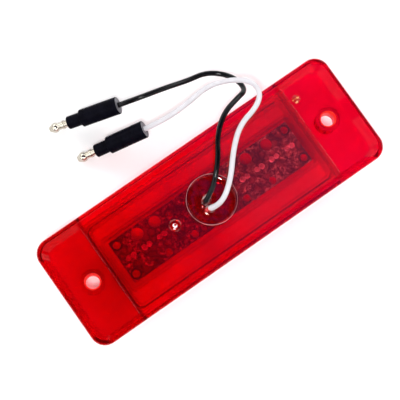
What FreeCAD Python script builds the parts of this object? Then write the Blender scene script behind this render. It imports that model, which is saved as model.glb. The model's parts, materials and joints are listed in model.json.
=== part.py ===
import FreeCAD, Part
import math
import os

# Sealed rectangular LED tail lamp for a trailer, in millimetres.
# It lies on its front face: z = 0 is the lens face and +Z points out of the back.
# X runs along the lamp, through both mounting holes. The origin is the middle of the front face.

Vector = FreeCAD.Vector
UP = Vector(0, 0, 1)

# Outline of the red lens housing
RIM_LENGTH = 156.0          # back edge of the skirt, before its edge is rounded
RIM_WIDTH = 54.4
RIM_RADIUS = 7.0
HEIGHT = 17.0               # front face to back edge
EAR_LENGTH = 149.6          # the drafted skirt is smaller at the ear front
EAR_WIDTH = 48.0
EAR_RADIUS = 5.5
EAR_FRONT_Z = 7.7
LENS_LENGTH = 108.0         # raised middle of the front
LENS_WIDTH = 44.4
LENS_RADIUS = 3.5
LENS_DRAFT = 1.0
LENS_EDGE_ROUND = 0.8
WALL = 2.0
RIM_ROUND = 0.5

# Mounting holes in the two ears
HOLE_SPACING = 127.0
HOLE_RADIUS = 3.175
BOSS_RADIUS = 5.5
HOLE_CHAMFER = 0.6
WASHER_SEAT_RADIUS = 8.0
WASHER_SEAT_DEPTH = 0.5

# Inside of the housing
CROSS_WALL_THICKNESS = 1.4
CHAMBER_LENGTH = 102.0
CHAMBER_WIDTH = 27.0
CHAMBER_WALL = 1.2
CHAMBER_RADIUS = 1.5
WELD_GAP = 0.05             # left between the inner walls and the back plate
GATE_X = 58.3
GATE_Y = 16.2
GATE_RADIUS = 2.2
GATE_HEIGHT = 0.8
OPTIC_SPHERE_RADIUS = 5.0
OPTIC_HEIGHT = 0.8

# Welded back plate with its round wire well
PLATE_LENGTH = 109.4
PLATE_WIDTH = 46.4
PLATE_RADIUS = 1.2
PLATE_BOTTOM_Z = 12.0
PLATE_TOP_Z = 14.0
PLATE_EDGE_ROUND = 0.3
WELL_OUTER_RADIUS = 11.7
WELL_INNER_RADIUS = 10.7
WELL_TOP_Z = 16.8
WELL_LIP_ROUND = 0.35
VENT_X = -19.6
VENT_HOLE_RADIUS = 1.0
VENT_DROP_RADIUS = 2.7
VENT_DROP_HEIGHT = 0.9
RESIN_GAP = 0.02            # between poured resin and the plate

# Circuit board and what is soldered to it
BOARD_LENGTH = 96.5
BOARD_WIDTH = 21.0
BOARD_BOTTOM_Z = 8.4
BOARD_TOP_Z = 10.0
POST_X = 45.6
POST_Y = 7.6
POST_RADIUS = 1.6
POST_SHOULDER_RADIUS = 2.65
POST_RISE = 0.5
POST_CLEARANCE = 0.15
LARGE_HOLE_RADIUS = 2.75
LARGE_HOLES = [(-35.1, 6.9), (-25.7, 6.9), (23.9, 6.9), (35.2, 6.9)]
SMALL_HOLE_RADIUS = 1.75
SMALL_HOLES = [(-28.3, -7.9), (-14.1, -7.9), (14.1, -7.9), (28.3, -7.9)]
TOOLING_HOLE_RADIUS = 1.15
TOOLING_HOLE = (-18.4, 5.3)
LED_OFFSETS = [18.6, 26.5, 34.6, 43.1]      # from the middle, the same on both sides
LEAD_PITCH = 2.54
LEAD_RADIUS = 0.28
LEAD_HOLE_RADIUS = 0.45
LEAD_TOP_Z = 11.1
LED_RADIUS = 1.5
LED_FLANGE_RADIUS = 1.9
LED_FLANGE_HEIGHT = 1.0
LED_HEIGHT = 5.3
SOLDER_RADIUS = 1.0
SOLDER_NECK_RADIUS = 0.45
SOLDER_HEIGHT = 0.9
CHIP_LENGTH = 3.2
CHIP_WIDTH = 1.6
CHIP_HEIGHT = 0.55
CHIP_ROUND = 0.08
RESISTOR_PLACES = [(-31.0, 5.0), (-12.0, 5.6), (12.0, 5.6), (31.0, 5.0)]
DIODE_LENGTH = 4.3
DIODE_WIDTH = 2.6
DIODE_HEIGHT = 2.2
DIODE_ROUND = 0.25
DIODE_PLACES = [(-7.5, -5.5), (7.5, -5.5)]

# Wire well filling
RESIN_TOP_Z = 15.0
RESIN_EDGE_RISE = 0.8
RESIN_EDGE_WIDTH = 1.6
RESIN_CONE_FOOT_RADIUS = 2.5
RESIN_CONE_HEAD_RADIUS = 1.35
RESIN_CONE_START = 2.2      # back along the wire from its exit point
RESIN_CONE_END = 0.35

# Wires
WIRE_RADIUS = 1.2
CORE_RADIUS = 0.75
CORE_HOLE_RADIUS = 0.85
CORE_BEND_RUN = 0.9
CORE_BOTTOM_Z = 7.6
LEAD_IN_LENGTH = 3.4

# Route corners of each wire, from its exit at the resin to the back of its plug
BLACK_ROUTE = [
    (-1.5, 1.5, 16.0), (3.1, 3.5, 20.3), (11.4, 11.9, 22.8), (17.8, 21.6, 23.4),
    (25.9, 27.9, 23.2), (35.0, 30.2, 21.0), (41.5, 31.8, 15.5), (40.8, 41.2, 10.8),
    (32.6, 49.1, 10.2), (22.6, 50.6, 11.8), (12.8, 52.7, 15.6), (0.2, 55.2, 18.2),
    (-9.5, 58.5, 14.2)]
WHITE_ROUTE = [
    (-2.0, -3.0, 16.0), (2.0, -4.5, 20.8), (10.8, 1.6, 23.0), (19.9, 12.4, 23.6),
    (28.5, 19.4, 23.4), (39.5, 21.9, 23.2), (44.8, 26.6, 22.8), (44.2, 33.4, 21.6),
    (36.4, 39.3, 20.2), (27.1, 42.4, 19.2), (14.6, 40.9, 18.8), (3.0, 40.9, 17.9),
    (-6.0, 43.0, 14.2)]
ARC_SHARE = 0.45            # share of the shorter run that each corner arc takes up

# Male bullet plugs, along their own axis from the back face
PLUG_TIPS = {"black": (-40.0, 69.0, 1.5), "white": (-37.0, 50.5, 1.5)}
SLEEVE_RADIUS = 4.0
SLEEVE_BODY_LENGTH = 18.3
SLEEVE_NOSE_RADIUS = 2.95
SLEEVE_LENGTH = 25.0
SLEEVE_EDGE_ROUND = 0.35
SLEEVE_WIRE_BORE = 1.25
SLEEVE_BARREL_BORE = 2.05
SLEEVE_BARREL_START = 6.8
WIRE_END_LENGTH = 6.6
WIRE_END_CORE_LENGTH = 13.5
BARREL_RADIUS = 2.0
BARREL_BORE = 0.8
BARREL_START = 7.0
BARREL_BORE_END = 14.0
BARREL_END = 24.2
NECK_RADIUS = 1.65
BALL_RADIUS = 2.28
BALL_CENTRE = 31.6
TIP_LENGTH = 34.2
TIP_RADIUS = 1.2
COLLAR_START = 27.0         # shallow shoulder ring between neck and ball
COLLAR_LENGTH = 0.9
COLLAR_RADIUS = 1.95
SEAM_WIDTH = 0.35
SEAM_DEPTH = 0.5


def rounded_wire(length, width, radius, z):
    """A rounded rectangle centred on the Z axis at height z."""
    half_x = length / 2
    half_y = width / 2
    edges = []
    corners = [(1, 1), (-1, 1), (-1, -1), (1, -1)]
    points = []
    for number, (side_x, side_y) in enumerate(corners):
        centre = Vector(side_x * (half_x - radius), side_y * (half_y - radius), z)
        start = math.pi / 2 * number
        arc_points = []
        for share in (0, 0.5, 1):
            angle = start + share * math.pi / 2
            arc_points.append(centre + Vector(math.cos(angle), math.sin(angle), 0) * radius)
        points.append(arc_points)
    for number, arc_points in enumerate(points):
        next_start = points[(number + 1) % len(points)][0]
        edges.append(Part.Arc(*arc_points).toShape())
        edges.append(Part.LineSegment(arc_points[2], next_start).toShape())
    return Part.Wire(edges)


def rounded_block(length, width, radius, bottom, top):
    face = Part.Face(rounded_wire(length, width, radius, bottom))
    return face.extrude(UP * (top - bottom))


def drafted_block(bottom_size, top_size, bottom, top):
    """A block between two rounded rectangles, each size being (length, width, radius)."""
    wires = [rounded_wire(*bottom_size, bottom), rounded_wire(*top_size, top)]
    return Part.makeLoft(wires, True, True)


def box_between(x_range, y_range, z_range):
    size = [high - low for low, high in (x_range, y_range, z_range)]
    return Part.makeBox(*size, Vector(x_range[0], y_range[0], z_range[0]))


def cylinder(radius, bottom, top, x=0.0, y=0.0):
    return Part.makeCylinder(radius, top - bottom, Vector(x, y, bottom))


def revolved(outline):
    """A solid of revolution about the Z axis from (radius, z) corners."""
    points = [Vector(radius, 0, z) for radius, z in outline]
    face = Part.Face(Part.makePolygon(points + points[:1]))
    return face.revolve(Vector(0, 0, 0), UP, 360)


def round_edges(shape, radius, wanted):
    """Fillet the edges for which wanted(edge) is true."""
    return shape.makeFillet(radius, [edge for edge in shape.Edges if wanted(edge)])


def lies_at(z):
    """A test for edges that lie in the plane at height z."""
    def wanted(edge):
        return abs(edge.BoundBox.ZMin - z) < 1e-4 and abs(edge.BoundBox.ZMax - z) < 1e-4
    return wanted


def skirt_size(z, inset):
    """Length, width and radius of the drafted skirt at height z, moved in by inset."""
    share = (z - EAR_FRONT_Z) / (HEIGHT - EAR_FRONT_Z)
    length = EAR_LENGTH + share * (RIM_LENGTH - EAR_LENGTH)
    width = EAR_WIDTH + share * (RIM_WIDTH - EAR_WIDTH)
    radius = EAR_RADIUS + share * (RIM_RADIUS - EAR_RADIUS)
    return length - 2 * inset, width - 2 * inset, radius - inset / 2


def lens_size(z, inset):
    """Length, width and radius of the raised lens block at height z, moved in by inset."""
    draft = LENS_DRAFT * (1 - z / EAR_FRONT_Z)
    smaller = 2 * (draft + inset)
    return LENS_LENGTH - smaller, LENS_WIDTH - smaller, LENS_RADIUS - inset / 2


def led_positions():
    left = [-offset for offset in reversed(LED_OFFSETS)]
    return left + LED_OFFSETS


def post_places():
    return [(side_x * POST_X, side_y * POST_Y) for side_x in (-1, 1) for side_y in (-1, 1)]


def lead_places():
    """Both leads of every LED."""
    return [(x + side * LEAD_PITCH / 2, 0) for x in led_positions() for side in (-1, 1)]


def lens_housing():
    ear_floor_z = EAR_FRONT_Z + WALL
    wall_top_z = PLATE_BOTTOM_Z - WELD_GAP
    skirt = drafted_block(skirt_size(EAR_FRONT_Z, 0), skirt_size(HEIGHT, 0), EAR_FRONT_Z, HEIGHT)
    lens = drafted_block(lens_size(0, 0), lens_size(EAR_FRONT_Z, 0), 0, EAR_FRONT_Z)
    lens = round_edges(lens, LENS_EDGE_ROUND, lies_at(0))
    skirt = round_edges(skirt, RIM_ROUND, lies_at(HEIGHT))
    back_hollow = drafted_block(skirt_size(ear_floor_z, WALL), skirt_size(HEIGHT, WALL),
                                ear_floor_z, HEIGHT)
    front_hollow = drafted_block(lens_size(WALL, WALL), lens_size(ear_floor_z, WALL),
                                 WALL, ear_floor_z)
    shell = skirt.fuse(lens).cut(back_hollow.fuse(front_hollow))

    inner = []
    wall_x = LENS_LENGTH / 2 - CROSS_WALL_THICKNESS / 2
    for side in (-1, 1):
        centre = side * wall_x
        x_range = (centre - CROSS_WALL_THICKNESS / 2, centre + CROSS_WALL_THICKNESS / 2)
        wall = box_between(x_range, (-RIM_WIDTH / 2, RIM_WIDTH / 2), (ear_floor_z, wall_top_z))
        inner.append(wall.common(back_hollow))
    chamber = rounded_block(CHAMBER_LENGTH, CHAMBER_WIDTH, CHAMBER_RADIUS, WALL, wall_top_z)
    chamber_inside = rounded_block(CHAMBER_LENGTH - 2 * CHAMBER_WALL, CHAMBER_WIDTH - 2 * CHAMBER_WALL,
                                   CHAMBER_RADIUS / 2, WALL, wall_top_z)
    inner.append(chamber.cut(chamber_inside))
    for x, y in post_places():
        inner.append(cylinder(POST_SHOULDER_RADIUS, WALL, BOARD_BOTTOM_Z, x, y))
        inner.append(cylinder(POST_RADIUS, BOARD_BOTTOM_Z, BOARD_TOP_Z + POST_RISE, x, y))
    inner += [lens_optic(x) for x in led_positions()]
    inner += [cylinder(BOSS_RADIUS, EAR_FRONT_Z, HEIGHT, side * HOLE_SPACING / 2) for side in (-1, 1)]
    gate = cylinder(GATE_RADIUS, ear_floor_z, ear_floor_z + GATE_HEIGHT, GATE_X, GATE_Y)
    inner.append(round_edges(gate, GATE_HEIGHT / 2, lies_at(ear_floor_z + GATE_HEIGHT)))
    housing = shell.fuse(inner)

    for side in (-1, 1):
        housing = housing.cut(mounting_hole(side * HOLE_SPACING / 2))
    return housing.removeSplitter()


def lens_optic(x):
    """The shallow dome that spreads the light of one LED, inside the front wall."""
    ball = Part.makeSphere(OPTIC_SPHERE_RADIUS, Vector(x, 0, WALL + OPTIC_HEIGHT - OPTIC_SPHERE_RADIUS))
    reach = OPTIC_SPHERE_RADIUS
    return ball.common(box_between((x - reach, x + reach), (-reach, reach), (WALL / 2, HEIGHT)))


def mounting_hole(x):
    """Screw hole with its washer seat in front and a chamfer at the back."""
    bore = cylinder(HOLE_RADIUS, EAR_FRONT_Z, HEIGHT, x)
    seat = cylinder(WASHER_SEAT_RADIUS, EAR_FRONT_Z, EAR_FRONT_Z + WASHER_SEAT_DEPTH, x)
    chamfer = Part.makeCone(HOLE_RADIUS, HOLE_RADIUS + HOLE_CHAMFER, HOLE_CHAMFER,
                            Vector(x, 0, HEIGHT - HOLE_CHAMFER))
    return bore.fuse([seat, chamfer])


def back_plate():
    plate = rounded_block(PLATE_LENGTH, PLATE_WIDTH, PLATE_RADIUS, PLATE_BOTTOM_Z, PLATE_TOP_Z)
    plate = round_edges(plate, PLATE_EDGE_ROUND, lies_at(PLATE_TOP_Z))
    well = cylinder(WELL_OUTER_RADIUS, BOARD_TOP_Z, WELL_TOP_Z)
    well = round_edges(well, WELL_LIP_ROUND, lies_at(WELL_TOP_Z))
    plate = plate.fuse(well)
    plate = plate.cut(cylinder(WELL_INNER_RADIUS, BOARD_TOP_Z, WELL_TOP_Z))
    plate = plate.cut(cylinder(VENT_HOLE_RADIUS, PLATE_BOTTOM_Z, PLATE_TOP_Z, VENT_X))
    return plate.removeSplitter()


def vent_seal():
    """The drop of resin that closes the filling vent."""
    bulge_radius = (VENT_DROP_RADIUS ** 2 + VENT_DROP_HEIGHT ** 2) / (2 * VENT_DROP_HEIGHT)
    bottom = PLATE_TOP_Z + RESIN_GAP
    top = bottom + VENT_DROP_HEIGHT
    ball = Part.makeSphere(bulge_radius, Vector(VENT_X, 0, top - bulge_radius))
    drop = ball.common(cylinder(bulge_radius, bottom, top, VENT_X))
    return drop.fuse(cylinder(VENT_HOLE_RADIUS - RESIN_GAP, PLATE_BOTTOM_Z, bottom, VENT_X))


def circuit_board():
    half_x = BOARD_LENGTH / 2
    half_y = BOARD_WIDTH / 2
    board = box_between((-half_x, half_x), (-half_y, half_y), (BOARD_BOTTOM_Z, BOARD_TOP_Z))
    holes = [(place, LARGE_HOLE_RADIUS) for place in LARGE_HOLES]
    holes += [(place, SMALL_HOLE_RADIUS) for place in SMALL_HOLES]
    holes += [(place, POST_RADIUS + POST_CLEARANCE) for place in post_places()]
    holes += [(place, LEAD_HOLE_RADIUS) for place in lead_places()]
    holes += [(place, CORE_HOLE_RADIUS) for place in core_places()]
    holes.append((TOOLING_HOLE, TOOLING_HOLE_RADIUS))
    drills = [cylinder(radius, BOARD_BOTTOM_Z, BOARD_TOP_Z, x, y) for (x, y), radius in holes]
    return board.cut(Part.makeCompound(drills))


def solder_joints():
    """A cone of solder round each LED lead, on the back of the board."""
    joints = []
    for x, y in lead_places():
        cone = Part.makeCone(SOLDER_RADIUS, SOLDER_NECK_RADIUS, SOLDER_HEIGHT, Vector(x, y, BOARD_TOP_Z))
        joints.append(cone.cut(cylinder(LEAD_RADIUS, BOARD_TOP_Z, LEAD_TOP_Z, x, y)))
    return Part.makeCompound(joints)


def led_leads():
    leads = [cylinder(LEAD_RADIUS, BOARD_BOTTOM_Z, LEAD_TOP_Z, x, y) for x, y in lead_places()]
    return Part.makeCompound(leads)


def led_body(x):
    """A round LED that shines towards the lens, with its flange against the board."""
    flange = cylinder(LED_FLANGE_RADIUS, BOARD_BOTTOM_Z - LED_FLANGE_HEIGHT, BOARD_BOTTOM_Z, x)
    dome_centre_z = BOARD_BOTTOM_Z - LED_HEIGHT + LED_RADIUS
    barrel = cylinder(LED_RADIUS, dome_centre_z, BOARD_BOTTOM_Z, x)
    dome = Part.makeSphere(LED_RADIUS, Vector(x, 0, dome_centre_z))
    return flange.fuse([barrel, dome]).removeSplitter()


def chip(place, length, width, height, rounding):
    """A surface-mounted part under the board."""
    x, y = place
    block = box_between((x - length / 2, x + length / 2), (y - width / 2, y + width / 2),
                        (BOARD_BOTTOM_Z - height, BOARD_BOTTOM_Z))
    return block.makeFillet(rounding, block.Edges)


def route_points(route):
    return [Vector(*point) for point in route]


def unit(vector):
    return vector * (1 / vector.Length)


def first_direction(route):
    points = route_points(route)
    return unit(points[1] - points[0])


def lead_in_ends(route):
    """Exit point of a wire, the start of its buried insulation, and where its bare core turns down."""
    leaving = route_points(route)[0]
    back = first_direction(route) * -1
    return leaving, leaving + back * LEAD_IN_LENGTH, leaving + back * (LEAD_IN_LENGTH + CORE_BEND_RUN)


def core_places():
    bends = [lead_in_ends(route)[2] for route in (BLACK_ROUTE, WHITE_ROUTE)]
    return [(bend.x, bend.y) for bend in bends]


def rod(start, end, radius):
    return Part.makeCylinder(radius, (end - start).Length, start, end - start)


def lead_in(route):
    """The insulated end of a wire that the resin holds."""
    leaving, insulation_start, _ = lead_in_ends(route)
    return rod(insulation_start, leaving, WIRE_RADIUS)


def lead_core(route):
    """The tinned core that turns down through the board."""
    _, insulation_start, bend = lead_in_ends(route)
    foot = Vector(bend.x, bend.y, CORE_BOTTOM_Z)
    knee = Part.makeSphere(CORE_RADIUS, bend)
    stub = rod(insulation_start, bend, CORE_RADIUS)
    return stub.fuse([knee, rod(bend, foot, CORE_RADIUS)]).removeSplitter()


def resin_cone(route):
    """The resin that creeps up round a wire where it leaves."""
    leaving = route_points(route)[0]
    direction = first_direction(route)
    start = leaving - direction * RESIN_CONE_START
    return Part.makeCone(RESIN_CONE_FOOT_RADIUS, RESIN_CONE_HEAD_RADIUS, RESIN_CONE_START - RESIN_CONE_END,
                         start, direction)


def potting_resin():
    radius = WELL_INNER_RADIUS - RESIN_GAP
    edge_start = radius - RESIN_EDGE_WIDTH
    step = RESIN_EDGE_WIDTH / 2
    pool = revolved([(0, BOARD_TOP_Z), (radius, BOARD_TOP_Z), (radius, RESIN_TOP_Z + RESIN_EDGE_RISE),
                     (edge_start + step, RESIN_TOP_Z + RESIN_EDGE_RISE / 4),
                     (edge_start, RESIN_TOP_Z), (0, RESIN_TOP_Z)])
    for route in (BLACK_ROUTE, WHITE_ROUTE):
        pool = pool.fuse(resin_cone(route))
    for route in (BLACK_ROUTE, WHITE_ROUTE):
        pool = pool.cut([lead_in(route), lead_core(route)])
    return pool.removeSplitter()


def wire_tube(name, route):
    """A wire as straight runs joined by tangent arcs."""
    points = route_points(route)
    edges = []
    radii = []
    last = points[0]
    for before, corner, after in zip(points, points[1:], points[2:]):
        arriving = unit(corner - before)
        leaving = unit(after - corner)
        turn = arriving.getAngle(leaving)
        tangent = ARC_SHARE * min((corner - before).Length, (after - corner).Length)
        radius = tangent / math.tan(turn / 2)
        arc_start = corner - arriving * tangent
        arc_end = corner + leaving * tangent
        to_centre = unit(leaving - arriving)
        arc_middle = corner + to_centre * (radius / math.cos(turn / 2) - radius)
        edges.append(Part.LineSegment(last, arc_start).toShape())
        edges.append(Part.Arc(arc_start, arc_middle, arc_end).toShape())
        radii.append(round(radius, 1))
        last = arc_end
    edges.append(Part.LineSegment(last, points[-1]).toShape())
    path = Part.Wire(edges)
    section = Part.Wire([Part.makeCircle(WIRE_RADIUS, points[0], first_direction(route))])
    tube = path.makePipeShell([section], True, False)
    expected = math.pi * WIRE_RADIUS ** 2 * path.Length
    print(name, "length", round(path.Length, 1), "radii", radii,
          "volume ratio", round(tube.Volume / expected, 4))
    return tube


def on_plug_axis(shape, colour, route):
    """Move a shape built along +Z onto the axis of one plug, its origin at the plug's back face."""
    back = route_points(route)[-1]
    direction = Vector(*PLUG_TIPS[colour]) - back
    turned = shape.copy()
    turned.Placement = FreeCAD.Placement(back, FreeCAD.Rotation(UP, direction))
    return turned


def plug_sleeve():
    """Moulded sleeve with a wide grip, a narrower nose and a bore for the wire and the terminal."""
    body = cylinder(SLEEVE_RADIUS, 0, SLEEVE_BODY_LENGTH)
    body = round_edges(body, SLEEVE_EDGE_ROUND,
                       lambda edge: lies_at(0)(edge) or lies_at(SLEEVE_BODY_LENGTH)(edge))
    nose = cylinder(SLEEVE_NOSE_RADIUS, SLEEVE_BODY_LENGTH / 2, SLEEVE_LENGTH)
    nose = round_edges(nose, SLEEVE_EDGE_ROUND, lies_at(SLEEVE_LENGTH))
    sleeve = body.fuse(nose)
    sleeve = sleeve.cut(cylinder(SLEEVE_WIRE_BORE, 0, SLEEVE_BARREL_START))
    return sleeve.cut(cylinder(SLEEVE_BARREL_BORE, SLEEVE_BARREL_START, SLEEVE_LENGTH))


def plug_terminal():
    """Rolled male bullet: crimp barrel, neck with a shoulder ring, and a ball end, with its seam."""
    barrel = cylinder(BARREL_RADIUS, BARREL_START, BARREL_END)
    barrel = barrel.cut(cylinder(BARREL_BORE, BARREL_START, BARREL_BORE_END))
    neck = cylinder(NECK_RADIUS, BARREL_END, BALL_CENTRE)
    collar = cylinder(COLLAR_RADIUS, COLLAR_START, COLLAR_START + COLLAR_LENGTH)
    ball = Part.makeSphere(BALL_RADIUS, Vector(0, 0, BALL_CENTRE))
    tip = Part.makeCone(BALL_RADIUS * math.cos(math.pi / 6), TIP_RADIUS,
                        TIP_LENGTH - BALL_CENTRE - BALL_RADIUS / 2,
                        Vector(0, 0, BALL_CENTRE + BALL_RADIUS / 2))
    terminal = barrel.fuse([neck, collar, ball, tip]).removeSplitter()
    seam = box_between((-BALL_RADIUS, -NECK_RADIUS + SEAM_DEPTH), (-SEAM_WIDTH / 2, SEAM_WIDTH / 2),
                       (BARREL_END, BALL_CENTRE))
    return terminal.cut(seam)


def plug_wire_end():
    """The end of the wire inside the plug, its stripped core crimped in the barrel."""
    insulation = cylinder(WIRE_RADIUS, 0, WIRE_END_LENGTH)
    return insulation.fuse(cylinder(CORE_RADIUS, WIRE_END_LENGTH, WIRE_END_CORE_LENGTH))


def build_nodes():
    routes = {"black": BLACK_ROUTE, "white": WHITE_ROUTE}
    nodes = {
        "lens_housing": lens_housing(),
        "back_plate": back_plate(),
        "vent_seal": vent_seal(),
        "potting_resin": potting_resin(),
        "circuit_board": circuit_board(),
        "solder_joints": solder_joints(),
        "led_leads": led_leads(),
        "lead_in_cores": Part.makeCompound([lead_core(route) for route in routes.values()]),
    }
    for number, x in enumerate(led_positions(), 1):
        nodes[f"led_{number}"] = led_body(x)
    for number, place in enumerate(RESISTOR_PLACES, 1):
        nodes[f"resistor_{number}"] = chip(place, CHIP_LENGTH, CHIP_WIDTH, CHIP_HEIGHT, CHIP_ROUND)
    for number, place in enumerate(DIODE_PLACES, 1):
        nodes[f"diode_{number}"] = chip(place, DIODE_LENGTH, DIODE_WIDTH, DIODE_HEIGHT, DIODE_ROUND)
    for colour, route in routes.items():
        nodes[f"{colour}_lead_in"] = lead_in(route)
        nodes[f"{colour}_wire"] = wire_tube(f"{colour}_wire", route)
        nodes[f"{colour}_wire_end"] = on_plug_axis(plug_wire_end(), colour, route)
        nodes[f"{colour}_plug_sleeve"] = on_plug_axis(plug_sleeve(), colour, route)
        nodes[f"{colour}_plug_terminal"] = on_plug_axis(plug_terminal(), colour, route)
    return nodes


os.makedirs("parts", exist_ok=True)
for node, shape in build_nodes().items():
    if not shape.isValid():
        print("not valid:", node)
    shape.exportStep(f"parts/{node}.step")
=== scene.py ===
import json
import math

import bpy
from mathutils import Euler, Matrix, Vector


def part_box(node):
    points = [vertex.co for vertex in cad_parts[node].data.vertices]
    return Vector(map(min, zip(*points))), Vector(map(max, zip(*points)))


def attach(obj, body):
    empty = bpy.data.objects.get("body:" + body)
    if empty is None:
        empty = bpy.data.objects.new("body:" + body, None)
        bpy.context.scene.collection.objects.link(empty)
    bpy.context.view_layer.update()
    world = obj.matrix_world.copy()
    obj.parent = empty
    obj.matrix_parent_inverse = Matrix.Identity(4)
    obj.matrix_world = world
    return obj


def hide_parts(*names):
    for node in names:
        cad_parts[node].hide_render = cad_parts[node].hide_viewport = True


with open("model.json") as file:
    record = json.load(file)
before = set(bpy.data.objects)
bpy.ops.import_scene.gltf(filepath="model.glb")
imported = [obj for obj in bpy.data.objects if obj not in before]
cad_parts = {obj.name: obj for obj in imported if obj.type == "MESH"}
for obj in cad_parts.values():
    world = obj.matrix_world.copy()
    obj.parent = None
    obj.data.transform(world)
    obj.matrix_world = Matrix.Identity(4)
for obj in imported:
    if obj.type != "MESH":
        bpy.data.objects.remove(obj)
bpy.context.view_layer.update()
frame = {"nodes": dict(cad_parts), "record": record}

MM = 0.001
NODES = frame["nodes"]
SCREW_HOLES = next(mount["dims"] for mount in frame["record"]["mounts"] if mount["name"] == "screw_holes")


def lowest(name):
    """The lowest corner of a CAD node's box, in millimetres."""
    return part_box(name)[0] / MM


def highest(name):
    """The highest corner of a CAD node's box, in millimetres."""
    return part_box(name)[1] / MM


def middle(name):
    """The middle of a CAD node's box, in millimetres."""
    return (lowest(name) + highest(name)) / 2


# Camera, as a long lens above the lamp's back
CAMERA_PLACE = (-0.0870, -0.0555, 0.6692)
CAMERA_TURN_DEG = (8.286, -2.981, -35.160)
CAMERA_LENS_MM = 135.0
CAMERA_SENSOR_MM = 36.0

# Wires, in millimetres: the length from the resin to the plug, and the route corners of part.py
WIRE_DIAMETER = 2.4
ROUTES = {
    "black": [
        (-1.5, 1.5, 16.0), (3.1, 3.5, 20.3), (11.4, 11.9, 22.8), (17.8, 21.6, 23.4),
        (25.9, 27.9, 23.2), (35.0, 30.2, 21.0), (41.5, 31.8, 15.5), (40.8, 41.2, 10.8),
        (32.6, 49.1, 10.2), (22.6, 50.6, 11.8), (12.8, 52.7, 15.6), (0.2, 55.2, 18.2),
        (-9.5, 58.5, 14.2)],
    "white": [
        (-2.0, -3.0, 16.0), (2.0, -4.5, 20.8), (10.8, 1.6, 23.0), (19.9, 12.4, 23.6),
        (28.5, 19.4, 23.4), (39.5, 21.9, 23.2), (44.8, 26.6, 22.8), (44.2, 33.4, 21.6),
        (36.4, 39.3, 20.2), (27.1, 42.4, 19.2), (14.6, 40.9, 18.8), (3.0, 40.9, 17.9),
        (-6.0, 43.0, 14.2)],
}
PLUG_TIPS = {"black": (-40.0, 69.0, 1.5), "white": (-37.0, 50.5, 1.5)}
SLEEVE_RADIUS = 4.0

# Sizes and places that the frame holds, in millimetres
HEIGHT = highest("lens_housing").z
BOARD_TOP_Z = highest("circuit_board").z
PLATE_BOTTOM_Z = lowest("vent_seal").z
LIP_TOP_Z = highest("back_plate").z
POOL_RADIUS = highest("potting_resin").x
VENT_X = middle("vent_seal").x
VENT_DROP_RADIUS = highest("vent_seal").y
HOLE_X = SCREW_HOLES["spacing_x_mm"] / 2
HOLE_RADIUS = SCREW_HOLES["hole_r_mm"]
LED_XS = [middle(f"led_{number}").x for number in (4, 3, 2, 1, 5, 6, 7, 8)]     # from the middle outwards

# Other sizes and places of the lamp's back, in millimetres as in part.py
EAR_FLOOR_Z = 9.7
WASHER_SEAT_Z = 8.2
HOLE_CHAMFER = 0.6
PLATE_TOP_Z = 14.0
LEAD_PITCH = 2.54
POST_PLACES = [(x, y) for x in (-45.6, 45.6) for y in (-7.6, 7.6)]
POST_HOLE_RADIUS = 1.75
POST_SHOULDER_RADIUS = 2.65
GATE_PLACE = (58.3, 16.2)
GATE_HEIGHT = 0.8
VENT_HOLE_RADIUS = 1.0
POOL_TOP_Z = 15.0
GAP = 0.02                  # left between surfaces that would otherwise lie on each other
SHARP_ANGLE_DEG = 50        # edges steeper than this stay crisp on a smooth-shaded mesh

# How the red plastic's colour drifts along the lamp, as (x in millimetres, colour); the drift is painted
# light and shade.
# The ears are painted darker as the shade under them, and the stops near x = -54 and x = 53 paint shade
# along the seams between the ears and the raised body.
LENS_COLOUR_AND_PAINTED_SHADE = [
    (-55.2, (0.54, 0.0003, 0.004)), (-54.6, (0.4, 0.0003, 0.003)), (-53.4, (0.4, 0.0003, 0.003)),
    (-52.4, (0.84, 0.0003, 0.005)), (0.0, (0.8, 0.0003, 0.012)), (15.0, (0.77, 0.0003, 0.035)),
    (51.7, (0.73, 0.0003, 0.045)), (53.0, (0.58, 0.0003, 0.02)), (53.7, (0.58, 0.0003, 0.02)),
    (54.9, (0.68, 0.0003, 0.03))]
# The plate's colour along the lamp, with painted light and shade: paler towards +X.
PLATE_COLOUR_AND_PAINTED_SHADE = [
    (-50.0, (0.76, 0.0003, 0.02)), (-8.0, (0.79, 0.01, 0.04)), (15.0, (0.8, 0.14, 0.18)),
    (50.0, (0.87, 0.18, 0.22))]

# The tint of lamp light that has passed through, over the same x. It is deeper round the left
# screw hole, so that the white paper seen through the hole looks pinkish.
LENS_LAMP_TINTS = [
    (-72.0, (0.86, 0.8, 0.81)), (-70.0, (0.86, 0.14, 0.16)), (-57.0, (0.86, 0.14, 0.16)),
    (-55.0, (0.86, 0.8, 0.81))]
PLATE_LAMP_TINTS = [(0.0, (0.99, 0.85, 0.87))]
PLASTIC_REACH = 80.0        # the drift runs from -80 to 80 mm along X

# Area lights, as (name, place, aim, size, power in watts), in metres
SOFTBOXES = [
    ("right", (0.9, 0.1, 0.6), (0, 0, 0), (1.1, 0.7), 7.6),
    ("left", (-0.8, 0.12, 0.6), (0, 0, 0), (1.1, 0.7), 4.9),
    ("back", (0.05, 0.88, 0.6), (0, 0.02, 0), (1.2, 0.7), 6.2),
    ("front", (0.0, -0.82, 0.6), (0, 0, 0), (1.2, 0.7), 5.2),
    ("beside_camera", (-0.17, -0.12, 0.75), (0, 0, 0), (0.1, 0.1), 2.6),
]

# Light of the room, as (the direction's share along Z or X, from 0 to 1, colour)
ROOM_BY_HEIGHT = [(0.05, (0.85, 0.85, 0.85)), (0.6, (0.014, 0.012, 0.015))]
COOL_PATCH = [(0.07, (0.0, 0.0, 0.0)), (0.17, (0.24, 0.04, 0.35)),
              (0.2, (0.24, 0.04, 0.35)), (0.235, (0.0, 0.0, 0.0))]
OVERHEAD_ONLY = [(0.85, (0.0, 0.0, 0.0)), (0.93, (1.0, 1.0, 1.0))]


# ---------------------------------------------------------------- materials

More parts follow.
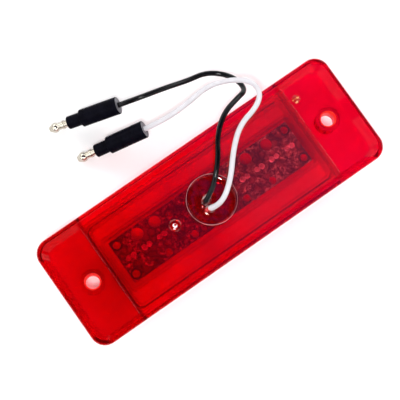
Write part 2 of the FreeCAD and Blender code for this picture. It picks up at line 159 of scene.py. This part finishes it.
def fill_ramp(ramp, stops):
    """Gives a colour ramp node its stops, each (position, colour)."""
    elements = ramp.color_ramp.elements
    while len(elements) > len(stops):
        elements.remove(elements[-1])
    while len(elements) < len(stops):
        elements.new(0.5)
    for element, (position, colour) in zip(elements, stops):
        element.position = position
        element.color = (*colour, 1.0)


def mixed_colour(tree, blend, first, second):
    """Two colours added, or multiplied, in full."""
    mixed = tree.nodes.new("ShaderNodeMix")
    mixed.data_type = "RGBA"
    mixed.blend_type = blend
    mixed.inputs["Factor"].default_value = 1.0
    tree.links.new(first, mixed.inputs["A"])
    tree.links.new(second, mixed.inputs["B"])
    return mixed.outputs["Result"]


class Material:
    """A node material with one Principled shader and short helpers for its patterns."""

    def __init__(self, name):
        self.material = bpy.data.materials.new(name)
        self.material.use_nodes = True
        self.tree = self.material.node_tree
        self.shader = self.tree.nodes["Principled BSDF"]
        self.output = self.tree.nodes["Material Output"]
        self.coordinates = self.node("ShaderNodeTexCoord").outputs["Object"]

    def node(self, kind, **settings):
        made = self.tree.nodes.new(kind)
        for key, value in settings.items():
            setattr(made, key, value)
        return made

    def link(self, source, target):
        self.tree.links.new(source, target)

    def set(self, **values):
        """Sets sockets of the shader; an underscore stands for a space in a socket's name."""
        for key, value in values.items():
            self.shader.inputs[key.replace("_", " ")].default_value = value

    def noise(self, scale, detail=3.0, roughness=0.5, stretch=None):
        texture = self.node("ShaderNodeTexNoise")
        texture.inputs["Scale"].default_value = scale
        texture.inputs["Detail"].default_value = detail
        texture.inputs["Roughness"].default_value = roughness
        source = self.coordinates
        if stretch:
            mapping = self.node("ShaderNodeMapping")
            mapping.inputs["Scale"].default_value = stretch
            self.link(source, mapping.inputs["Vector"])
            source = mapping.outputs["Vector"]
        self.link(source, texture.inputs["Vector"])
        return texture.outputs["Fac"]

    def edge_distance(self, scale):
        """How far a point is from the border of its cell, in a pattern of irregular cells."""
        texture = self.node("ShaderNodeTexVoronoi", feature="DISTANCE_TO_EDGE")
        texture.inputs["Scale"].default_value = scale
        self.link(self.coordinates, texture.inputs["Vector"])
        return texture.outputs["Distance"]

    def ramp(self, source, stops):
        """A colour ramp; each stop is (position, colour)."""
        ramp = self.node("ShaderNodeValToRGB")
        fill_ramp(ramp, stops)
        self.link(source, ramp.inputs["Fac"])
        return ramp.outputs["Color"]

    def spread(self, source, low, high, source_low=0.0, source_high=1.0):
        """Maps a value to the range from low to high."""
        remap = self.node("ShaderNodeMapRange")
        remap.inputs["From Min"].default_value = source_low
        remap.inputs["From Max"].default_value = source_high
        remap.inputs["To Min"].default_value = low
        remap.inputs["To Max"].default_value = high
        self.link(source, remap.inputs["Value"])
        return remap.outputs["Result"]

    def mix(self, factor, first, second):
        """The first colour where the factor is 0, the second where it is 1."""
        mixed = self.node("ShaderNodeMix", data_type="RGBA")
        self.link(factor, mixed.inputs["Factor"])
        self.link(first, mixed.inputs["A"])
        self.link(second, mixed.inputs["B"])
        return mixed.outputs["Result"]

    def bump(self, source, height, strength):
        bump = self.node("ShaderNodeBump")
        bump.inputs["Distance"].default_value = height
        bump.inputs["Strength"].default_value = strength
        self.link(source, bump.inputs["Height"])
        self.link(bump.outputs["Normal"], self.shader.inputs["Normal"])

    def feed(self, source, socket):
        self.link(source, self.shader.inputs[socket])

    def absorb(self, colour, density):
        """Light loses colour with its path inside the piece; density is per metre."""
        volume = self.node("ShaderNodeVolumeAbsorption")
        volume.inputs["Color"].default_value = (*colour, 1.0)
        volume.inputs["Density"].default_value = density
        self.link(volume.outputs["Volume"], self.output.inputs["Volume"])

    def let_lamps_through(self, colour):
        """Light from lamps passes the clear plastic, tinted, as it does through a thin wall."""
        path = self.node("ShaderNodeLightPath")
        clear = self.node("ShaderNodeBsdfTransparent")
        self.link(colour, clear.inputs["Color"])
        mixed = self.node("ShaderNodeMixShader")
        self.link(path.outputs["Is Shadow Ray"], mixed.inputs["Fac"])
        self.link(self.shader.outputs["BSDF"], mixed.inputs[1])
        self.link(clear.outputs["BSDF"], mixed.inputs[2])
        self.link(mixed.outputs["Shader"], self.output.inputs["Surface"])


def red_plastic(name, colour_and_shade, lamp_tints, clearness, polish):
    """Transparent red moulded plastic with flow marks and fine scuffs.

    The two tables list (x in millimetres, colour): the plastic's colour with painted light and shade
    drifting along the lamp, and the tint that it gives to lamp light passing through, which drifts too."""
    made = Material(name)
    made.set(IOR=1.5, Transmission_Weight=clearness, Specular_IOR_Level=0.5)
    split = made.node("ShaderNodeSeparateXYZ")
    made.link(made.coordinates, split.inputs["Vector"])
    end = PLASTIC_REACH
    along = made.spread(split.outputs["X"], 0.0, 1.0, -end * MM, end * MM)

    def drift(table):
        return made.ramp(along, [((x + end) / (2 * end), colour) for x, colour in table])

    flow = made.noise(26.0, 5.0, 0.62, (1.0, 2.4, 1.0))
    marks = made.ramp(flow, [(0.3, (0.86, 0.86, 0.7)), (0.62, (1.0, 1.0, 1.0))])
    made.feed(mixed_colour(made.tree, "MULTIPLY", drift(colour_and_shade), marks), "Base Color")
    scuffs = made.noise(420.0, 5.0, 0.7, (0.35, 1.0, 1.0))
    made.feed(made.spread(scuffs, polish * 0.5, polish * 1.7, 0.3, 0.75), "Roughness")
    made.bump(made.noise(60.0, 2.0), 0.00004, 0.5)
    made.absorb((0.8, 0.05, 0.3), 110.0)
    made.let_lamps_through(drift(lamp_tints))
    return made.material


def clear_resin():
    """Poured resin, a little cloudy; its red is painted light, the red of the light that reaches it through
    the red plastic.
    """
    made = Material("poured_resin")
    made.set(IOR=1.52, Transmission_Weight=0.95, Specular_IOR_Level=0.5)
    cloud = made.noise(160.0, 3.0)
    made.feed(made.ramp(cloud, [(0.3, (0.6, 0.004, 0.006)), (0.75, (0.74, 0.01, 0.014))]), "Base Color")
    made.feed(made.spread(made.noise(300.0, 2.0), 0.01, 0.05), "Roughness")
    made.bump(made.noise(110.0, 2.0), 0.00005, 0.5)
    made.let_lamps_through(made.ramp(cloud, [(0.3, (0.8, 0.1, 0.1)), (0.75, (0.9, 0.13, 0.13))]))
    return made.material


def board_laminate():
    """Dark solder mask over copper tracks, with scattered flux specks."""
    made = Material("board_laminate")
    made.set(Specular_IOR_Level=0.4)
    specks = made.ramp(made.noise(640.0, 7.0, 0.72), [
        (0.42, (0.006, 0.005, 0.004)), (0.53, (0.12, 0.09, 0.065)), (0.66, (0.55, 0.45, 0.35))])
    tracks = made.edge_distance(300.0)
    copper = made.ramp(tracks, [
        (0.0, (0.008, 0.003, 0.003)), (0.12, (0.07, 0.03, 0.02)), (0.3, (0.13, 0.05, 0.04))])
    patches = made.spread(made.noise(170.0, 2.0), 0.0, 1.0, 0.42, 0.58)
    made.feed(made.mix(patches, specks, copper), "Base Color")
    made.feed(made.spread(tracks, 0.35, 0.6, 0.0, 0.4), "Roughness")
    made.bump(tracks, 0.00005, 0.4)
    return made.material


def bright_metal(name, dark, light, roughness):
    """Bare metal with slight tarnish and uneven polish."""
    made = Material(name)
    made.set(Metallic=1.0)
    made.feed(made.ramp(made.noise(500.0, 4.0), [(0.3, dark), (0.7, light)]), "Base Color")
    made.feed(made.spread(made.noise(900.0, 3.0, 0.6), roughness * 0.7, roughness * 1.5), "Roughness")
    made.bump(made.noise(700.0, 3.0), 0.00002, 0.4)
    return made.material


def soft_plastic(name, dark, light, roughness, grain, shine=0.5, mottle=260.0, blend=(0.3, 0.72)):
    """Opaque plastic, vinyl or ceramic, mottled between two colours and marked by handling."""
    made = Material(name)
    made.set(IOR=1.5, Specular_IOR_Level=shine)
    made.feed(made.ramp(made.noise(mottle, 4.0, 0.6), list(zip(blend, (dark, light)))), "Base Color")
    handling = made.noise(340.0, 4.0, 0.65)
    made.feed(made.spread(handling, roughness * 0.75, roughness * 1.35, 0.3, 0.7), "Roughness")
    made.bump(made.noise(grain, 4.0, 0.6), 0.00003, 0.5)
    return made.material


def epoxy_body():
    """The clear, faintly pink epoxy of the LEDs."""
    made = Material("led_epoxy")
    made.set(IOR=1.53, Transmission_Weight=0.85, Specular_IOR_Level=0.5)
    cloud = made.noise(300.0)
    made.feed(made.ramp(cloud, [(0.3, (0.9, 0.75, 0.72)), (0.7, (0.97, 0.9, 0.88))]), "Base Color")
    made.feed(made.spread(made.noise(400.0), 0.03, 0.1), "Roughness")
    return made.material


# The materials of the record's slots
MATERIALS = {
    "red_lens": red_plastic("red_lens", LENS_COLOUR_AND_PAINTED_SHADE, LENS_LAMP_TINTS, 0.92, 0.035),
    "red_plate": red_plastic("red_plate", PLATE_COLOUR_AND_PAINTED_SHADE, PLATE_LAMP_TINTS, 0.98, 0.06),
    "clear_resin": clear_resin(),
    "board": board_laminate(),
    "solder": bright_metal("solder", (0.4, 0.4, 0.41), (0.72, 0.72, 0.73), 0.4),
    "tinned_wire": bright_metal("tinned_wire", (0.6, 0.58, 0.55), (0.82, 0.8, 0.78), 0.3),
    "led_epoxy": epoxy_body(),
    "chip_ceramic": soft_plastic(
        "chip_ceramic", (0.02, 0.02, 0.022), (0.05, 0.05, 0.052), 0.5, 900.0),
    "diode_body": soft_plastic(
        "diode_body", (0.02, 0.02, 0.022), (0.045, 0.045, 0.047), 0.45, 900.0),
    "black_insulation": soft_plastic(
        "black_insulation", (0.001, 0.001, 0.0015), (0.003, 0.003, 0.0045), 0.05, 900.0, shine=0.2),
    "white_insulation": soft_plastic(
        "white_insulation", (0.56, 0.545, 0.575), (0.64, 0.625, 0.655), 0.36, 900.0, shine=0.3),
    "plug_sleeve": soft_plastic(
        "plug_sleeve", (0.0015, 0.0014, 0.003), (0.004, 0.004, 0.008), 0.26, 1200.0, shine=0.02),
    "nickel_plate": bright_metal("nickel_plate", (0.42, 0.38, 0.31), (0.66, 0.62, 0.54), 0.16),
}

# Materials of pieces that only this script makes
CUT_END = soft_plastic("cut_vinyl", (0.07, 0.068, 0.078), (0.17, 0.165, 0.185), 0.55, 1500.0)
# Dark ring round each plastic post.
DARK_POST_RING = soft_plastic("dark_post_ring", (0.004, 0.002, 0.002), (0.02, 0.01, 0.01), 0.4, 900.0)
BORE_SKIN = soft_plastic("bore_skin", (0.75, 0.006, 0.008), (1.0, 0.05, 0.03), 0.14, 1400.0)
# Pale ring on the well's lip: a painted highlight.
LIP_HIGHLIGHT = soft_plastic("lip_painted_highlight", (0.3, 0.004, 0.006), (0.85, 0.5, 0.5), 0.3, 900.0,
                         mottle=110.0, blend=(0.35, 0.62))
# Near-white ring in the vent drop's pit: a painted highlight.
VENT_HIGHLIGHT = soft_plastic("vent_painted_highlight", (0.8, 0.72, 0.7), (0.98, 0.95, 0.94), 0.15, 900.0)
# Dark red gate stub with bright amber specks: painted glints.
GATE_STUB_AND_GLINTS = soft_plastic("torn_gate_and_painted_glints", (0.42, 0.002, 0.004), (1.0, 0.4, 0.16), 0.16, 1800.0,
                         mottle=900.0, blend=(0.56, 0.6))


def paint_cad_nodes():
    """Gives each CAD node the material of its slot in the record."""
    for entry in frame["record"]["subparts"]:
        node = NODES[entry["node"]]
        for place in node.material_slots:
            place.material = MATERIALS[entry["material_slot"]]


# ---------------------------------------------------------------- mesh pieces

def mesh_piece(name, slot, vertices, faces, material=None, placing=None):
    """A smooth-shaded mesh in millimetres, riding on the lamp.

    Its material is the slot's own unless another is given."""
    mesh = bpy.data.meshes.new(name)
    mesh.from_pydata([tuple(Vector(place) * MM) for place in vertices], [], faces)
    if placing:
        mesh.transform(placing)
    mesh.validate()
    mesh.shade_smooth()
    mesh.set_sharp_from_angle(angle=math.radians(SHARP_ANGLE_DEG))
    mesh.materials.append(material or MATERIALS[slot])
    piece = bpy.data.objects.new(name, mesh)
    bpy.context.scene.collection.objects.link(piece)
    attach(piece, "root")
    return piece


def grid_faces(rings, steps):
    """Quads between rings of vertices that follow each other, each ring with the same steps."""
    faces = []
    for ring in range(rings - 1):
        for step in range(steps):
            here = ring * steps
            following = (step + 1) % steps
            faces.append((here + step, here + following, here + steps + following, here + steps + step))
    return faces


def end_faces(rings, steps):
    """The two faces that fill the first and the last ring."""
    last = (rings - 1) * steps
    return [tuple(reversed(range(steps))), tuple(range(last, last + steps))]


def closing_faces(rings, steps):
    """Quads from the last ring back to the first."""
    last = (rings - 1) * steps
    return [(last + step, last + (step + 1) % steps, (step + 1) % steps, step) for step in range(steps)]


def turned(profile, steps, centre=(0.0, 0.0), shape=lambda angle: 1.0, closed=False):
    """A profile of (radius, z) turned about a vertical axis.

    Its ends are filled, or joined to each other when closed. shape scales the radius by the angle."""
    vertices = []
    for radius, z in profile:
        for step in range(steps):
            angle = 2 * math.pi * step / steps
            reach = radius * shape(angle)
            vertices.append((centre[0] + reach * math.cos(angle), centre[1] + reach * math.sin(angle), z))
    rings = len(profile)
    ends = closing_faces(rings, steps) if closed else end_faces(rings, steps)
    return vertices, grid_faces(rings, steps) + ends


def joined(shapes):
    """Several (vertices, faces) as one."""
    vertices = []
    faces = []
    for part_vertices, part_faces in shapes:
        faces += [tuple(index + len(vertices) for index in face) for face in part_faces]
        vertices += part_vertices
    return vertices, faces


def axis_distance(place, colour):
    """How far a place is from the line along which a wire leaves the resin."""
    start = Vector(ROUTES[colour][0])
    leaving = (Vector(ROUTES[colour][1]) - start).normalized()
    offset = Vector(place) - start
    return (offset - offset.dot(leaving) * leaving).length


def resin_pool():
    """Poured resin that creeps up the wall of the well and up both wires."""
    steps = 128
    rings = 56
    crowding = 1.35             # draws the rings together towards the wall
    creep_reach = 0.75
    wall_rise = 0.3
    wire_rise = 0.85
    meeting_z = POOL_TOP_Z + 0.4
    ripple_height = 0.035
    vertices = []
    for ring in range(rings):
        radius = POOL_RADIUS * (1 - (1 - (ring + 0.4) / (rings - 0.6)) ** crowding)
        for step in range(steps):
            angle = 2 * math.pi * step / steps
            x = radius * math.cos(angle)
            y = radius * math.sin(angle)
            rise = wall_rise * math.exp((radius - POOL_RADIUS) / creep_reach)
            for colour in ROUTES:
                clear = max(axis_distance((x, y, meeting_z), colour) - WIRE_DIAMETER / 2, 0.0)
                rise = max(rise, wire_rise * math.exp(-clear / creep_reach))
            ripple = ripple_height * math.sin(0.9 * x + 1.3) * math.cos(0.8 * y)
            vertices.append((x, y, POOL_TOP_Z + rise + ripple))
    bottom = BOARD_TOP_Z + GAP
    vertices += [(x, y, bottom) for x, y, z in vertices[-steps:]]
    faces = grid_faces(rings + 1, steps) + end_faces(rings + 1, steps)
    pool = mesh_piece("resin_pool", "clear_resin", vertices, faces)
    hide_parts("potting_resin")


def lip_highlight_ring():
    """A thin pale ring on the crest of the well's lip: a painted highlight."""
    inner = 11.3
    width = 0.13
    height = 0.05
    profile = [(inner, LIP_TOP_Z), (inner + width, LIP_TOP_Z - height),
               (inner + width / 2, LIP_TOP_Z + height)]

    def crest_wobble(angle):
        return 1 + 0.004 * math.sin(2 * angle + 0.6) + 0.002 * math.sin(7 * angle)

    vertices, faces = turned(profile, 120, shape=crest_wobble, closed=True)
    mesh_piece("lip_highlight_ring", "red_plate", vertices, faces, LIP_HIGHLIGHT)


def vent_drop():
    """A drop of resin on the vent, with a pit where it sank in."""
    height = 0.5
    pit_depth = 0.25
    pit_radius = 0.6
    fullness = 0.8              # 0.5 would be a round dome, 1 a paraboloid
    bands = 26
    bottom = PLATE_TOP_Z + GAP
    plug_radius = VENT_HOLE_RADIUS - GAP
    profile = [(plug_radius, PLATE_BOTTOM_Z), (plug_radius, bottom), (VENT_DROP_RADIUS, bottom)]
    for band in reversed(range(bands)):
        radius = VENT_DROP_RADIUS * (band + 0.1) / bands
        dome = height * (1 - (radius / VENT_DROP_RADIUS) ** 2) ** fullness
        profile.append((radius, bottom + dome - pit_depth * math.exp(-(radius / pit_radius) ** 2)))

    def uneven(angle):
        return 1 + 0.03 * math.sin(3 * angle + 1)

    vertices, faces = turned(profile, 64, (VENT_X, 0.0), uneven)
    drop = mesh_piece("vent_drop", "clear_resin", vertices, faces)
    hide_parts("vent_seal")


def vent_highlight_ring():
    """An open pale ring in the vent drop's pit, white as a painted highlight of the drop."""
    ring_radius = 0.8
    tube_radius = 0.32
    flatness = 0.6
    centre_z = PLATE_TOP_Z + 0.36
    steps = 44
    around = 12
    opening = 0.9               # the break in the rim and its middle, as angles in radians
    opening_at = 0.6
    vertices = []
    for step in range(steps):
        along = step / (steps - 1)
        angle = opening / 2 + (2 * math.pi - opening) * along + opening_at
        thick = tube_radius * (math.sin(math.pi * along) ** 0.5 + 0.05) * (1 + 0.2 * math.sin(3 * angle))
        for turn in range(around):
            tilt = 2 * math.pi * turn / around
            reach = ring_radius + thick * math.cos(tilt)
            vertices.append((VENT_X + reach * math.cos(angle), reach * math.sin(angle),
                             centre_z + flatness * thick * math.sin(tilt)))
    faces = grid_faces(steps, around) + end_faces(steps, around)
    mesh_piece("vent_highlight_ring", "clear_resin", vertices, faces, VENT_HIGHLIGHT)


def solder_fillet(number, x):
    """Hollow-sided solder round one LED lead; its number sets how it differs from the others."""
    foot = 1.3 * (1 + 0.07 * math.sin(1.7 * number + 1))
    neck = 0.32
    height = 0.95 * (1 + 0.12 * math.sin(2.3 * number))
    hollow = 2.6
    bands = 12
    profile = [(neck + (foot - neck) * (1 - band / bands) ** hollow,
                BOARD_TOP_Z + GAP + height * band / bands) for band in range(bands + 1)]

    def wobble(angle):
        return 1 + 0.05 * math.sin(2 * angle + number) + 0.04 * math.sin(5 * angle + 2.1 * number)

    return turned(profile, 32, (x, 0.0), wobble)


def solder_fillets():
    """The solder of all eight LEDs."""
    leads = [led_x + half * LEAD_PITCH / 2 for led_x in LED_XS for half in (-1, 1)]
    vertices, faces = joined([solder_fillet(number, x) for number, x in enumerate(leads)])
    solder = mesh_piece("solder_fillets", "solder", vertices, faces)
    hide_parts("solder_joints")


def post_rings():
    """A dark ring on the board round each plastic post."""
    inner = POST_HOLE_RADIUS + 0.01
    outer = POST_SHOULDER_RADIUS
    thickness = 0.03
    bevel = 0.05
    base = BOARD_TOP_Z + GAP
    top = base + thickness
    profile = [(inner, base), (outer, base), (outer - bevel, top), (inner + bevel, top)]
    vertices, faces = joined([turned(profile, 48, place, closed=True) for place in POST_PLACES])
    mesh_piece("post_rings", "board", vertices, faces, DARK_POST_RING)


def gate_scar():
    """The torn stub of the moulding gate on the ear, dark red with bright amber specks that are painted
    glints.
    """
    foot = 1.75
    height = 0.55
    bands = 9
    steps = 40
    x, y = GATE_PLACE
    bottom = EAR_FLOOR_Z + GATE_HEIGHT + GAP
    vertices = []
    for band in range(bands):
        radius = foot * (1 - band / bands)
        for step in range(steps):
            angle = 2 * math.pi * step / steps
            torn = math.sin(3 * angle + 1.9 * band) * math.cos(7 * angle - band)
            torn += 0.6 * math.sin(11 * angle)
            reach = radius * (1 + 0.14 * torn)
            lift = max(height * (band / bands) ** 0.6 * (0.7 + 0.4 * torn), 0)
            vertices.append((x + reach * math.cos(angle), y + reach * math.sin(angle), bottom + lift))
    faces = grid_faces(bands, steps) + end_faces(bands, steps)
    mesh_piece("gate_scar", "red_lens", vertices, faces, GATE_STUB_AND_GLINTS)


def hole_liners():
    """The moulded skin of both screw holes, with drag marks down the bore and a rolled mouth."""
    skin = 0.06
    margin = 0.05
    roll = 0.2
    bottom = WASHER_SEAT_Z + margin
    mouth = HEIGHT - HOLE_CHAMFER
    top = HEIGHT - margin
    flare = HOLE_CHAMFER - margin
    outer = HOLE_RADIUS - GAP / 2
    inner = outer - skin
    profile = [(outer, bottom), (outer, mouth), (outer + flare, top), (inner + flare, top),
               (inner + flare / 2, mouth + roll), (inner, mouth - roll), (inner, bottom)]

    def drag_marks(angle):
        return 1 + 0.006 * math.sin(9 * angle + 1) + 0.004 * math.sin(23 * angle)

    liners = [turned(profile, 96, (side * HOLE_X, 0.0), drag_marks, closed=True) for side in (-1, 1)]
    vertices, faces = joined(liners)
    mesh_piece("hole_liners", "red_lens", vertices, faces, BORE_SKIN)


def plug_placing(colour):
    """From a plug's own axis, +Z from its back face to its tip, to the lamp's frame."""
    back = Vector(ROUTES[colour][-1])
    turn = (Vector(PLUG_TIPS[colour]) - back).to_track_quat("Z", "Y")
    return Matrix.Translation(back * MM) @ turn.to_matrix().to_4x4()


def sleeve_end(colour):
    """The cut back face of a plug's sleeve, dished round the wire, with two notches."""
    rim = SLEEVE_RADIUS - 0.3
    mouth = WIRE_DIAMETER / 2 + 0.12
    proud = 0.05
    dish_depth = 0.035
    notch_depth = 0.04
    notch_radius = 2.2
    steps = 72
    rings = 12
    round_turn = [2 * math.pi * step / steps for step in range(steps)]
    vertices = []
    for ring in range(rings):
        radius = mouth + (rim - mouth) * ring / (rings - 1)
        dish = dish_depth * math.exp(-(radius - mouth) / 0.3)
        notch_here = notch_depth * math.exp(-((radius - notch_radius) / 0.5) ** 2)
        for angle in round_turn:
            notch = notch_here * math.exp(-(math.sin(angle) / 0.12) ** 2)
            vertices.append((radius * math.cos(angle), radius * math.sin(angle), -proud + notch + dish))
    for radius in (rim, mouth):
        vertices += [(radius * math.cos(angle), radius * math.sin(angle), 0.0) for angle in round_turn]
    faces = grid_faces(rings + 2, steps) + closing_faces(rings + 2, steps)
    return mesh_piece(f"{colour}_sleeve_end", "plug_sleeve", vertices, faces, CUT_END, plug_placing(colour))


# ---------------------------------------------------------------- wires

def wire_curve(colour):
    """A free wire as one smooth NURBS spline through its route."""
    curve = bpy.data.curves.new(f"{colour}_wire_run", "CURVE")
    curve.dimensions = "3D"
    curve.resolution_u = 24
    curve.bevel_depth = WIRE_DIAMETER / 2 * MM
    curve.bevel_resolution = 8
    curve.use_fill_caps = True
    spline = curve.splines.new("NURBS")
    route = ROUTES[colour]
    spline.points.add(len(route) - 1)
    for point, place in zip(spline.points, route):
        point.co = (*(Vector(place) * MM), 1.0)
    spline.order_u = 3
    spline.use_endpoint_u = True
    wire = bpy.data.objects.new(f"{colour}_wire_run", curve)
    bpy.context.scene.collection.objects.link(wire)
    curve.materials.append(MATERIALS[f"{colour}_insulation"])
    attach(wire, "root")
    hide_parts(f"{colour}_wire")
    plug = [NODES[f"{colour}_{piece}"] for piece in ("plug_sleeve", "plug_terminal", "wire_end")]
    plug.append(sleeve_end(colour))


# ---------------------------------------------------------------- stage

def floor():
    """White paper that runs on beyond the picture, just under the lamp."""
    mesh = bpy.data.meshes.new("floor")
    reach = 6.0
    corners = [(-reach, -reach), (reach, -reach), (reach, reach), (-reach, reach)]
    mesh.from_pydata([(x, y, -GAP * MM) for x, y in corners], [], [(0, 1, 2, 3)])
    plane = bpy.data.objects.new("floor", mesh)
    bpy.context.scene.collection.objects.link(plane)
    made = Material("floor_paper")
    made.set(Roughness=0.9, Specular_IOR_Level=0.1)
    shade = made.ramp(made.noise(8.0), [(0.3, (0.92, 0.92, 0.92)), (0.7, (0.94, 0.94, 0.94))])
    made.feed(shade, "Base Color")
    mesh.materials.append(made.material)


def softbox(name, place, aim, size, power):
    light = bpy.data.lights.new(name, "AREA")
    light.shape = "RECTANGLE"
    light.size, light.size_y = size
    light.energy = power
    lamp = bpy.data.objects.new(name, light)
    lamp.location = place
    lamp.rotation_euler = (Vector(aim) - Vector(place)).to_track_quat("-Z", "Y").to_euler()
    bpy.context.scene.collection.objects.link(lamp)


def sky_light(tree, axis, stops):
    """Light of the surroundings by direction along one axis; each stop is (direction, colour)."""
    place = tree.nodes.new("ShaderNodeTexCoord")
    split = tree.nodes.new("ShaderNodeSeparateXYZ")
    ramp = tree.nodes.new("ShaderNodeValToRGB")
    fill_ramp(ramp, stops)
    tree.links.new(place.outputs["Generated"], split.inputs["Vector"])
    tree.links.new(split.outputs[axis], ramp.inputs["Fac"])
    return ramp.outputs["Color"]


def surroundings():
    """A pale room, bright along the horizon and dark overhead, with a faint cool patch over one end.

    The dark sky keeps the flat faces deep in colour, and the patch lies as a veil on half of the plate."""
    world = bpy.data.worlds.new("studio")
    world.use_nodes = True
    tree = world.node_tree
    room = sky_light(tree, "Z", ROOM_BY_HEIGHT)
    side = sky_light(tree, "X", COOL_PATCH)
    overhead = sky_light(tree, "Z", OVERHEAD_ONLY)
    light = mixed_colour(tree, "ADD", room, mixed_colour(tree, "MULTIPLY", side, overhead))
    tree.links.new(light, tree.nodes["Background"].inputs["Color"])
    bpy.context.scene.world = world


def studio():
    """The light of the room and the area lights round the lamp."""
    surroundings()
    for name, place, aim, size, power in SOFTBOXES:
        softbox(name, place, aim, size, power)


def camera():
    """The photo's own view of the lamp."""
    data = bpy.data.cameras.new("camera")
    data.lens = CAMERA_LENS_MM
    data.sensor_width = CAMERA_SENSOR_MM
    data.clip_end = 20.0
    eye = bpy.data.objects.new("camera", data)
    eye.location = CAMERA_PLACE
    eye.rotation_euler = Euler([math.radians(turn) for turn in CAMERA_TURN_DEG])
    bpy.context.scene.collection.objects.link(eye)
    bpy.context.scene.camera = eye


camera()
studio()
floor()
paint_cad_nodes()
for make_piece in (resin_pool, lip_highlight_ring, vent_drop, vent_highlight_ring, solder_fillets, post_rings,
                   gate_scar, hole_liners):
    make_piece()
for colour in ROUTES:
    wire_curve(colour)

view = bpy.context.scene.view_settings
view.view_transform = "Standard"
view.look = "None"

bpy.context.view_layer.update()
